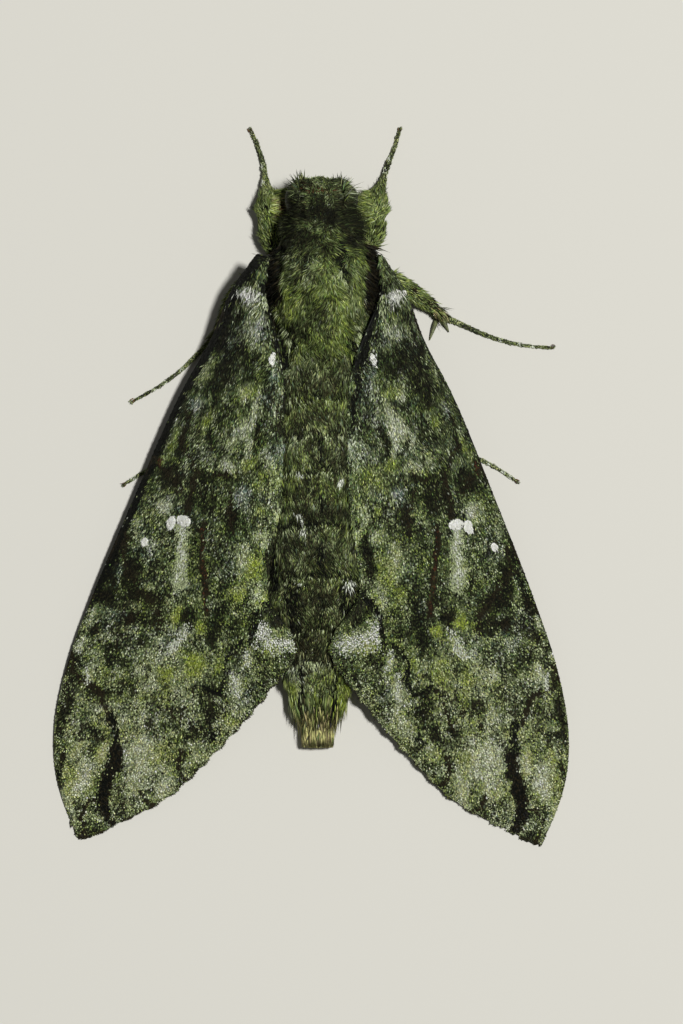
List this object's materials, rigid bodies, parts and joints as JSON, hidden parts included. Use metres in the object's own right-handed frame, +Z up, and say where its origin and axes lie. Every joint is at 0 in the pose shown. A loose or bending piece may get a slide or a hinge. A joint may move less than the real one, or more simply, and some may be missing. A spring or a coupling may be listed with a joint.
{
  "type": "hawk moth",
  "caption": "Life-size still hawk moth at rest, mottled green wings roofed low over a long tapering furred body, legs spread on the floor.",
  "frame": {"origin": "middle of the moth's box, on the floor it rests on", "axes": "+Y out of the head, +X to the moth's right, +Z up from the floor through its back"},
  "size_m": [0.0458, 0.0638, 0.0125],
  "materials": {
    "body_fur": "moss green and olive hair-scales, matte",
    "wing_scales": "mottled grey-green, yellow-green and brown scales, matte",
    "leg_scales": "olive scales with pale rings at the foot joints",
    "eye_lens": "glossy dark brown facetted lens",
    "feeler_shaft": "pale scaled shaft",
    "tongue_horn": "amber-brown horn"
  },
  "bodies": {
    "root": {"head": "body_fur", "thorax": "body_fur", "abdomen": "body_fur", "tail_brush": "body_fur", "palp_left": "body_fur", "palp_right": "body_fur", "eye_left": "eye_lens", "eye_right": "eye_lens", "antenna_left": "feeler_shaft", "antenna_right": "feeler_shaft", "tongue_coil": "tongue_horn", "forewing_left": "wing_scales", "forewing_right": "wing_scales", "hindwing_left": "wing_scales", "hindwing_right": "wing_scales", "foreleg_right_femur": "leg_scales", "foreleg_right_tibia": "leg_scales", "foreleg_right_tarsus": "leg_scales", "foreleg_left_femur": "leg_scales", "foreleg_left_tibia": "leg_scales", "foreleg_left_tarsus": "leg_scales", "midleg_right_femur": "leg_scales", "midleg_right_tibia": "leg_scales", "midleg_right_tarsus": "leg_scales", "midleg_left_femur": "leg_scales", "midleg_left_tibia": "leg_scales", "midleg_left_tarsus": "leg_scales", "hindleg_right_femur": "leg_scales", "hindleg_right_tibia": "leg_scales", "hindleg_right_tarsus": "leg_scales", "hindleg_left_femur": "leg_scales", "hindleg_left_tibia": "leg_scales", "hindleg_left_tarsus": "leg_scales"}
  },
  "joints": []
}
